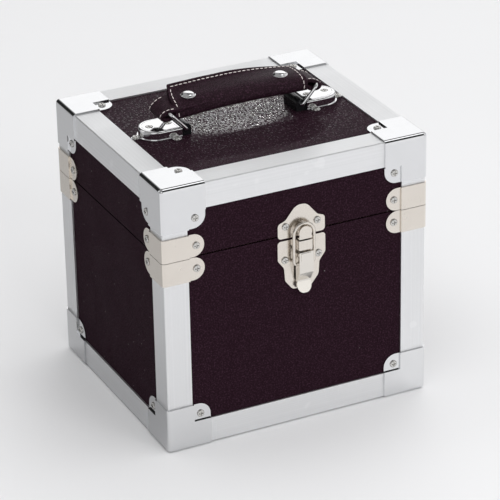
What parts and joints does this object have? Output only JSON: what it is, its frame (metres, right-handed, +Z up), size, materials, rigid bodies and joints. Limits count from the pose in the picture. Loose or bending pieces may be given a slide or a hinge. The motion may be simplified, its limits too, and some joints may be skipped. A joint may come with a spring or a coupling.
{
  "type": "record carrying case",
  "caption": "Carrying case with a hinged lid, aluminium edges, metal corner plates, a draw latch and a strap handle on folding rings.",
  "frame": {"origin": "below the middle of the bounding box, on the plane the four lower corner plates stand on", "axes": "+Z up, -Y out of the front that carries the latch, +X to the right of a person facing that front"},
  "size_m": [0.2174, 0.205, 0.2438],
  "materials": {
    "plywood": "raw plywood",
    "leathercloth": "fine pebble grain, satin",
    "lining": "matt paper",
    "edge_aluminium": "satin, extruded",
    "corner_chrome": "polished",
    "clamp_nickel": "bright nickel",
    "latch_nickel": "bright nickel",
    "hinge_nickel": "bright nickel",
    "screw_nickel": "bright nickel",
    "block_black": "gloss black",
    "handle_chrome": "polished",
    "handle_leather": "soft grain, satin"
  },
  "bodies": {
    "base": {"base_back_panel": "plywood", "base_clamps": "clamp_nickel", "base_corner_back_left": "corner_chrome", "base_corner_back_right": "corner_chrome", "base_corner_front_left": "corner_chrome", "base_corner_front_right": "corner_chrome", "base_edge_back": "edge_aluminium", "base_edge_front": "edge_aluminium", "base_edge_left": "edge_aluminium", "base_edge_right": "edge_aluminium", "base_floor_panel": "plywood", "base_front_panel": "plywood", "base_leathercloth": "leathercloth", "base_left_panel": "plywood", "base_lining": "lining", "base_posts": "edge_aluminium", "base_right_panel": "plywood", "base_screws": "screw_nickel", "hinge_left_base_leaf": "hinge_nickel", "hinge_pins": "hinge_nickel", "hinge_right_base_leaf": "hinge_nickel", "latch_base_plate": "latch_nickel", "latch_pin": "latch_nickel"},
    "lid": {"handle_cap_left": "handle_chrome", "handle_cap_right": "handle_chrome", "handle_hinge_block_left": "block_black", "handle_hinge_block_right": "block_black", "handle_plate_left": "handle_chrome", "handle_plate_right": "handle_chrome", "handle_screws": "screw_nickel", "hinge_left_lid_leaf": "hinge_nickel", "hinge_right_lid_leaf": "hinge_nickel", "latch_keeper": "latch_nickel", "lid_back_panel": "plywood", "lid_clamps": "clamp_nickel", "lid_corner_back_left": "corner_chrome", "lid_corner_back_right": "corner_chrome", "lid_corner_front_left": "corner_chrome", "lid_corner_front_right": "corner_chrome", "lid_edge_back": "edge_aluminium", "lid_edge_front": "edge_aluminium", "lid_edge_left": "edge_aluminium", "lid_edge_right": "edge_aluminium", "lid_front_panel": "plywood", "lid_leathercloth": "leathercloth", "lid_left_panel": "plywood", "lid_lining": "lining", "lid_posts": "edge_aluminium", "lid_right_panel": "plywood", "lid_screws": "screw_nickel", "lid_top_panel": "plywood"},
    "latch_lever": {"latch_lever": "latch_nickel"},
    "latch_bail": {"latch_bail": "latch_nickel"},
    "ring_left": {"ring_left": "handle_chrome"},
    "ring_right": {"ring_right": "handle_chrome"},
    "handle": {"handle_strap": "handle_leather", "handle_grip": "handle_leather", "handle_studs": "handle_chrome"}
  },
  "joints": [
    {"name": "lid_hinge", "type": "hinge", "parent": "base", "child": "lid", "pos_m": [0, 0.09925, 0.1559], "axis": [-1, 0, 0], "range_deg": [0, 105]},
    {"name": "latch_lever_pivot", "type": "hinge", "parent": "base", "child": "latch_lever", "pos_m": [0.0039, -0.09905, 0.1413], "axis": [-1, 0, 0], "range_deg": [0, 95]},
    {"name": "latch_bail_pivot", "type": "hinge", "parent": "latch_lever", "child": "latch_bail", "pos_m": [0.0039, -0.09795, 0.1333], "axis": [-1, 0, 0], "range_deg": [-95, 0]},
    {"name": "handle_lift", "type": "slide", "parent": "lid", "child": "handle", "axis": [0, 0, 1], "range_m": [0, 0.00241]},
    {"name": "ring_left_pivot", "type": "hinge", "parent": "lid", "child": "ring_left", "pos_m": [-0.0477, 0.00105, 0.2173], "axis": [0, 1, 0], "range_deg": [0, 12]},
    {"name": "ring_right_pivot", "type": "hinge", "parent": "lid", "child": "ring_right", "pos_m": [0.0477, 0.00105, 0.2173], "axis": [0, -1, 0], "range_deg": [0, 12]}
  ],
  "couplings": [
    {"joint": "latch_bail_pivot", "follows": "latch_lever_pivot", "ratio": -1},
    {"joint": "ring_left_pivot", "follows": "handle_lift", "rad_per_m": 86.832},
    {"joint": "ring_right_pivot", "follows": "handle_lift", "rad_per_m": 86.832}
  ]
}
